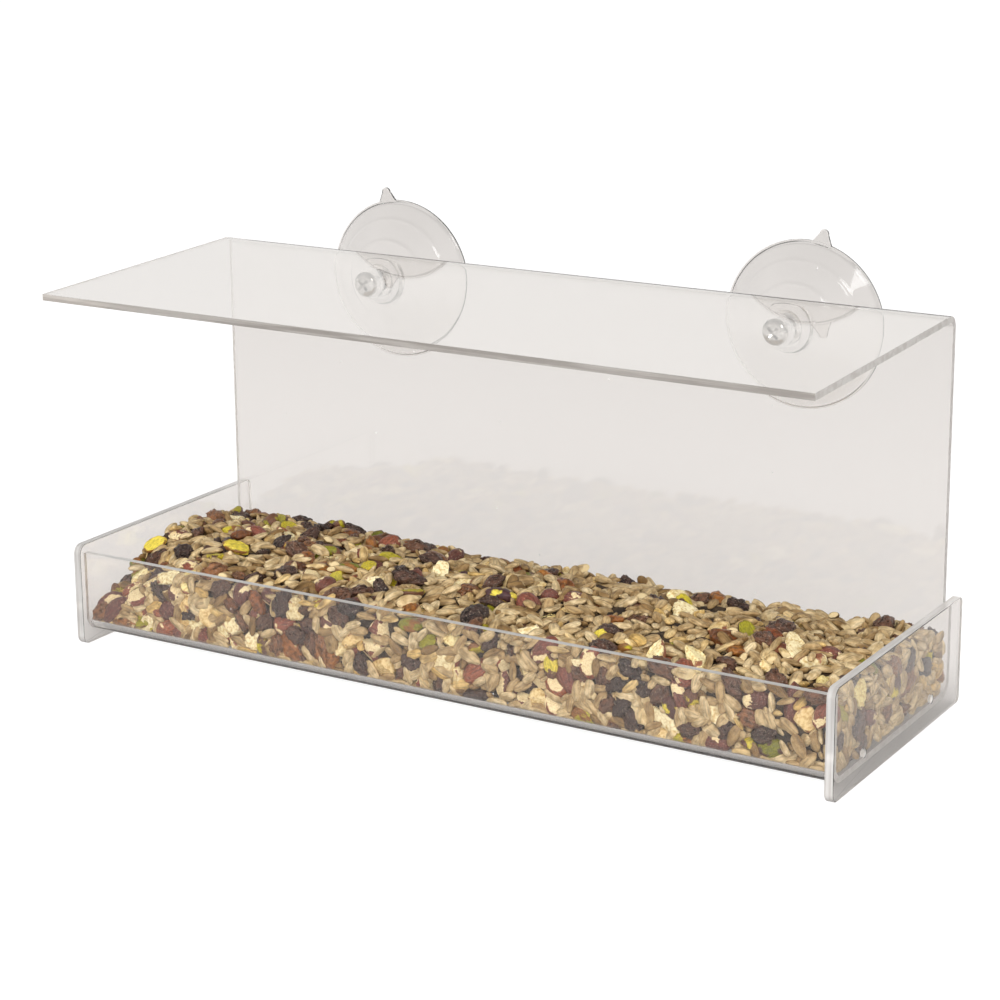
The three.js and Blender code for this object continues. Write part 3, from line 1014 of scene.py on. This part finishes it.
# Each kind of grain: its shapes and material, how its bulk is stood for by three balls in a row (their
# radius and how far the outer two lie from the middle), and its share of the mix on top and at the lip.
KINDS = {
    "sunflower_kernels": (kernel_shapes, kernel_material, 1.55, 3.0, 0.920, 0.74),
    "raisins": (raisin_shapes, raisin_material, 3.2, 2.9, 0.034, 0.075),
    "nuts": (nut_shapes, nut_material, 4.0, 3.0, 0.009, 0.085),
    "pistachios": (pistachio_shapes, pistachio_material, 2.8, 2.9, 0.015, 0.028),
    "nut_pieces": (chunk_shapes, flesh_material, 3.1, 3.6, 0.013, 0.050),
    "fruit_pieces": (fruit_shapes, fruit_material, 2.9, 2.9, 0.009, 0.022),
}
KIND_NUMBERS = np.array([kind[2:] for kind in KINDS.values()])

# Only the bed's outer layer is packed: its depth, and the share of it that the grains' bulk fills.
SHELL_TOP = 8.0
SHELL_SIDE = 7.5
SHELL_BOTTOM = 5.0
BED_FILL = 0.66

# A grain's bulk is that of its balls, for a radius of 1, and of the rod between them, for a spread of 1.
BALL_BULK = 4.19
ROD_LENGTH = 1.7

# The places tried, the rounds of settling, and how much grains differ in size and lie askew.
TRIES = 80000
ROUNDS = 70
SIZE_SPREAD = 0.09
TILT_SPREAD = 0.33

# The lip's own mix reaches this far in, and grains other than kernels grow commoner to the left.
LIP_BAND = 16.0
LEFT_START = -60.0
LEFT_BAND = 120.0
LEFT_RICHNESS = 2.2

# How each round of settling moves a grain: its share of an overlap, how far it sinks, how much of it
# may stand out of the heap's top, and its share of the way back to the outer layer.
PUSH_SHARE = 1.5
SINK_STEP = 0.05
STAND_OUT = 0.35
RETURN_SHARE = 0.5

# The dark core of painted shade lies this far inside the bed's sides, over its floor and under its top.
CORE_INSET = 5.0
CORE_FLOOR_GAP = 3.5
CORE_DEPTH = 5.5

# A piece holds at most so many triangles, and a grain's own coordinates are shifted by up to so much.
FACES_PER_PIECE = 180000
LOCAL_SHIFT = 400


def lumps(x, y):
    """The heap's small hills and hollows, which loose seed always has."""
    broad = np.sin(0.31 * x + 2.0 * np.sin(0.17 * y)) * np.sin(0.29 * y + 1.7 * np.sin(0.13 * x))
    small = np.sin(0.83 * x + 1.9 * np.sin(0.57 * y)) * np.sin(0.71 * y + 2.3 * np.sin(0.49 * x))
    return 1.8 * broad + 1.2 * small


def seed_height(x, y):
    """Height of the heap at a place across and along the tray."""
    along = (y - lip_inner) / (back_inner - lip_inner)
    level = SEED_FRONT_HEIGHT + (SEED_REAR_HEIGHT - SEED_FRONT_HEIGHT) * along
    near_left = 1 - smooth_step(sheet_low.x, SEED_CORNER_REACH, x)
    near_lip = 1 - smooth_step(lip_inner, SEED_CORNER_REACH, y)
    near_right = smooth_step(sheet_high.x - SEED_CORNER_REACH, SEED_CORNER_REACH, x)
    smooth = level + SEED_CROWN * np.sin(math.pi * along) - SEED_CORNER_DROP * near_left * near_lip
    return smooth + SEED_RIGHT_RISE * near_right + lumps(x, y)


# Directions out of the bed, in the order that depths_inside gives its distances.
OUTWARD = np.array([(-1, 0, 0), (1, 0, 0), (0, -1, 0), (0, 1, 0), (0, 0, -1), (0, 0, 1)], float)
SHELL = np.array([SHELL_SIDE] * 4 + [SHELL_BOTTOM, SHELL_TOP])


def depths_inside(points):
    """How far each point lies inside the tray's two ends, lip, back and floor, and the heap's top."""
    x, y, z = points.T
    half = sheet_high.x - WALL_GAP
    top = seed_height(x, y)
    return np.stack([
        x + half, half - x,
        y - lip_inner - WALL_GAP, back_inner - WALL_GAP - y,
        z - floor_top - WALL_GAP, top - z,
    ], axis=1)


def scattered(rng):
    """Random places in the outer few millimetres of the bed, at the density of loose seed."""
    low = np.array([sheet_low.x, lip_inner, floor_top])
    high = np.array([sheet_high.x, back_inner, SEED_FRONT_HEIGHT + SEED_CROWN + 4])
    tries = rng.random((TRIES, 3)) * (high - low) + low
    depths = depths_inside(tries)
    kept = (depths.min(axis=1) > 0) & ((depths - SHELL).min(axis=1) < 0)
    shell_volume = kept.mean() * np.prod(high - low)
    return tries[kept], shell_volume


def choose_kinds(rng, places):
    top, lip = KIND_NUMBERS[:, 2], KIND_NUMBERS[:, 3]
    near_lip = np.clip(1 - (places[:, 1] - lip_inner) / LIP_BAND, 0, 1)[:, None]
    shares = top * (1 - near_lip) + lip * near_lip
    leftward = np.clip((LEFT_START - places[:, 0]) / LEFT_BAND, 0, 1)[:, None]
    shares[:, 1:] *= 1 + LEFT_RICHNESS * leftward
    shares /= shares.sum(axis=1, keepdims=True)
    return (rng.random((len(places), 1)) > np.cumsum(shares, axis=1)).sum(axis=1)


def near_pairs(balls, reach):
    """Pairs of balls closer than reach, found through a grid of cells of that size."""
    cell = np.floor((balls - balls.min(axis=0)) / reach).astype(np.int64) + 1
    span = cell.max(axis=0) + 2
    key = (cell[:, 0] * span[1] + cell[:, 1]) * span[2] + cell[:, 2]
    order = np.argsort(key, kind="stable")
    ordered = key[order]
    firsts, seconds = [], []
    for dx in (0, 1):
        for dy in (-1, 0, 1):
            for dz in (-1, 0, 1):
                if (dx, dy, dz) < (0, 0, 0):
                    continue
                other = key + (dx * span[1] + dy) * span[2] + dz
                start = np.searchsorted(ordered, other, "left")
                count = np.searchsorted(ordered, other, "right") - start
                first = np.repeat(np.arange(len(balls)), count)
                offset = np.arange(count.sum()) - np.repeat(np.cumsum(count) - count, count)
                second = order[np.repeat(start, count) + offset]
                if (dx, dy, dz) == (0, 0, 0):
                    once = first < second
                    first, second = first[once], second[once]
                close = ((balls[first] - balls[second]) ** 2).sum(axis=1) < reach**2
                firsts.append(first[close])
                seconds.append(second[close])
    return np.concatenate(firsts), np.concatenate(seconds)


def settled(centre, along, radius, spread):
    """Pushes overlapping grains apart, each as three balls in a row, inside the bed's outer layer."""
    count = len(centre)
    owner = np.repeat(np.arange(count), 3)
    ball_radius = np.repeat(radius, 3)
    offset = np.tile(np.array([-1.0, 0.0, 1.0]), count)[:, None] * np.repeat(spread, 3)[:, None]
    for turn in range(ROUNDS):
        balls = centre[owner] + along[owner] * offset
        if turn % 7 == 0:
            a, b = near_pairs(balls, 2 * radius.max() + 0.6)
            apart = owner[a] != owner[b]
            a, b = a[apart], b[apart]
            reach = ball_radius[a] + ball_radius[b] + 1.5
            close = ((balls[a] - balls[b]) ** 2).sum(axis=1) < reach**2
            a, b = a[close], b[close]
        gap = balls[b] - balls[a]
        distance = np.maximum(np.sqrt((gap**2).sum(axis=1)), 1e-6)
        overlap = np.maximum(0, ball_radius[a] + ball_radius[b] - distance)
        push = gap / distance[:, None] * (overlap * 0.5)[:, None]
        touching = (overlap > 0).astype(float)
        hits = np.bincount(a, touching, len(balls)) + np.bincount(b, touching, len(balls))
        pushed = lambda side, k: np.bincount(side, push[:, k], len(balls))
        move = np.stack([pushed(b, k) - pushed(a, k) for k in range(3)], axis=1)
        balls += move / np.maximum(1, hits)[:, None] * PUSH_SHARE
        balls[:, 2] -= SINK_STEP
        depths = depths_inside(balls) - ball_radius[:, None]
        depths[:, 5] += ball_radius * STAND_OUT
        for side in range(6):
            balls -= OUTWARD[side] * np.maximum(0, -depths[:, side])[:, None]
        deepest = depths - (SHELL - ball_radius[:, None])
        nearest = deepest.argmin(axis=1)
        excess = np.maximum(0, deepest.min(axis=1))
        balls += OUTWARD[nearest] * (excess * RETURN_SHARE)[:, None]
        grouped = balls.reshape(count, 3, 3)
        centre = grouped.mean(axis=1)
        axis = grouped[:, 2] - grouped[:, 0]
        along = axis / np.linalg.norm(axis, axis=1, keepdims=True)
    return centre, along


def inside_tray(points):
    """Keeps every point of the grains clear of the acrylic, its bends included."""
    half = sheet_high.x - WALL_GAP
    kept = points.copy()
    kept[:, 0] = np.clip(kept[:, 0], -half, half)
    kept[:, 1] = np.clip(kept[:, 1], lip_inner + WALL_GAP, back_inner - WALL_GAP)
    kept[:, 2] = np.maximum(kept[:, 2], floor_top + WALL_GAP)
    bend = TRAY_BEND - SHEET_THICKNESS
    for wall, way in ((lip_inner, 1), (back_inner, -1)):
        corner = np.array([wall + way * bend, floor_top + bend])
        rel = kept[:, 1:] - corner
        low = (rel[:, 0] * way < 0) & (rel[:, 1] < 0)
        reach = np.linalg.norm(rel, axis=1)
        out = low & (reach > bend - WALL_GAP)
        kept[out, 1:] = corner + rel[out] / reach[out, None] * (bend - WALL_GAP)
    return kept


def laid_out(rng):
    """Every grain's kind, middle, axes and size."""
    places, volume = scattered(rng)
    kinds = choose_kinds(rng, places)
    radius, spread = KIND_NUMBERS[kinds, 0], KIND_NUMBERS[kinds, 1]
    scale = np.clip(rng.normal(1.0, SIZE_SPREAD, len(places)), 0.8, 1.2)
    radius, spread = radius * scale, spread * scale
    bulk = BALL_BULK * radius**3 + math.pi * radius**2 * ROD_LENGTH * spread
    count = int(np.searchsorted(np.cumsum(bulk), BED_FILL * volume))
    places, kinds, radius, spread, scale = (v[:count] for v in (places, kinds, radius, spread, scale))
    nearest = (depths_inside(places) - SHELL * 0.4).argmin(axis=1)
    flat = OUTWARD[nearest] + rng.normal(0, TILT_SPREAD, (count, 3))
    flat /= np.linalg.norm(flat, axis=1, keepdims=True)
    along = np.cross(flat, rng.normal(0, 1, (count, 3)))
    along /= np.linalg.norm(along, axis=1, keepdims=True)
    centre, along = settled(places, along, radius, spread)
    flat -= (flat * along).sum(axis=1, keepdims=True) * along
    flat /= np.linalg.norm(flat, axis=1, keepdims=True)
    return kinds, centre, along, flat, scale


def grain_mesh(name, shapes, variants, centre, along, flat, scale, draws, material):
    """One piece holding many grains. Its points carry each grain's draws and its own coordinates."""
    all_points, all_draws, all_local, all_bare, all_faces = [], [], [], [], []
    base = 0
    for variant, (points, faces, bare) in enumerate(shapes):
        chosen = np.nonzero(variants == variant)[0]
        side = np.cross(flat[chosen], along[chosen])
        axes = np.stack([along[chosen], side, flat[chosen]], axis=1)
        sized = points[None] * scale[chosen, None, None]
        placed = np.einsum("nvk,nkj->nvj", sized, axes) + centre[chosen, None]
        local = points[None] + draws[chosen, None, :] * LOCAL_SHIFT
        all_points.append(placed.reshape(-1, 3))
        all_local.append(local.reshape(-1, 3))
        all_draws.append(np.repeat(draws[chosen], len(points), axis=0))
        all_bare.append(np.tile(bare, len(chosen)))
        for _ in chosen:
            all_faces.extend([i + base for i in face] for face in faces)
            base += len(points)
    mesh = bpy.data.meshes.new(name)
    mesh.from_pydata(inside_tray(np.concatenate(all_points)) * MM, [], all_faces)
    mesh.polygons.foreach_set("use_smooth", [True] * len(all_faces))
    kept = [
        ("grain", "FLOAT_VECTOR", "vector", all_draws),
        ("local", "FLOAT_VECTOR", "vector", all_local),
        ("bare", "FLOAT", "value", all_bare),
    ]
    for key, kind, field, values in kept:
        attribute = mesh.attributes.new(key, kind, "POINT")
        attribute.data.foreach_set(field, np.concatenate(values).astype(np.float32).ravel())
    mesh.materials.append(material)
    piece = bpy.data.objects.new(name, mesh)
    bpy.context.scene.collection.objects.link(piece)
    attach(piece, "feeder")
    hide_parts("seed_mix")


def seed_core(material):
    """The bed's inside, which no light reaches: a dark body of painted shade just under the outer grains.
    """
    steps_x, steps_y = 48, 16
    xs = np.linspace(sheet_low.x + CORE_INSET, sheet_high.x - CORE_INSET, steps_x + 1)
    ys = np.linspace(lip_inner + CORE_INSET, back_inner - CORE_INSET, steps_y + 1)
    bottom = floor_top + CORE_FLOOR_GAP
    points = []
    for level in (0, 1):
        for x in xs:
            for y in ys:
                lump = 0.8 * noise.noise(Vector((x, y, level * 9)) * 0.12)
                top = max(float(seed_height(x, y)) - CORE_DEPTH + lump, bottom + 1)
                points.append((x, y, top if level else bottom))
    index = lambda level, i, j: (level * (steps_x + 1) + i) * (steps_y + 1) + j
    faces = []
    for i in range(steps_x):
        for j in range(steps_y):
            for level, way in ((1, 1), (0, -1)):
                corners = [(i, j), (i + 1, j), (i + 1, j + 1), (i, j + 1)]
                faces.append([index(level, *corner) for corner in corners[::way]])
    border = [(i, 0) for i in range(steps_x)] + [(steps_x, j) for j in range(steps_y)]
    border += [(steps_x - i, steps_y - j) for i, j in border]
    for here, there in zip(border, border[1:] + border[:1]):
        faces.append([index(0, *here), index(0, *there), index(1, *there), index(1, *here)])
    core = outward(mesh_object("seed_bed_core", points, faces))
    made_of(core, material)
    shaded(core)
    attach(core, "feeder")
    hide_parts("seed_mix")


def seed_mix():
    rng = np.random.default_rng(SEED)
    kinds, centre, along, flat, scale = laid_out(rng)
    for number, (name, (make_shapes, make_material, *_)) in enumerate(KINDS.items()):
        shapes = make_shapes()
        chosen = np.nonzero(kinds == number)[0]
        variants = rng.integers(0, len(shapes), len(chosen))
        draws = rng.random((len(chosen), 3))
        material = make_material()
        triangles = 2 * len(shapes[0][0])
        per_piece = FACES_PER_PIECE // triangles
        for part in range(0, len(chosen), per_piece):
            some = slice(part, part + per_piece)
            grains = chosen[some]
            suffix = f"_{part // per_piece + 1}" if len(chosen) > per_piece else ""
            grain_mesh(
                name + suffix, shapes, variants[some], centre[grains], along[grains], flat[grains],
                scale[grains], draws[some], material,
            )
    seed_core(core_material())


# ---- the whole feeder


def feeder():
    acrylic = clear_plastic(
        "clear_acrylic", srgb(253, 252, 251), 0.0, 0.02, 1.49, (0.90, 0.895, 0.89, 1), 12.0
    )
    vinyl = clear_plastic(
        "clear_vinyl", srgb(252, 251, 250), 0.06, 0.13, 1.50, (0.90, 0.89, 0.88, 1), 60.0
    )
    across, along, any_way = (1.0, 0.03, 0.03), (0.03, 1.0, 1.0), (0.4, 0.4, 0.4)
    sawn = cut_edge("acrylic_sawn_edge", (208, 202, 197), (226, 222, 218), 0.35, any_way)
    roof_edge = cut_edge("acrylic_roof_edge", (174, 167, 161), (202, 196, 190), 0.5, along)
    lip_edge = cut_edge("acrylic_lip_edge", (228, 224, 220), (246, 243, 240), 0.5, along)
    end_edge = cut_edge("acrylic_polished_edge", (222, 217, 213), (246, 243, 240), 0.5, across)
    steel = plated_steel()
    bent_sheet(acrylic, sawn, roof_edge, lip_edge)
    for side in ("left", "right"):
        end_panel(side, acrylic, end_edge)
        suction_cup(side, vinyl)
        cup_screw(side, steel)
    seed_mix()


photographic_camera()
studio()
feeder()
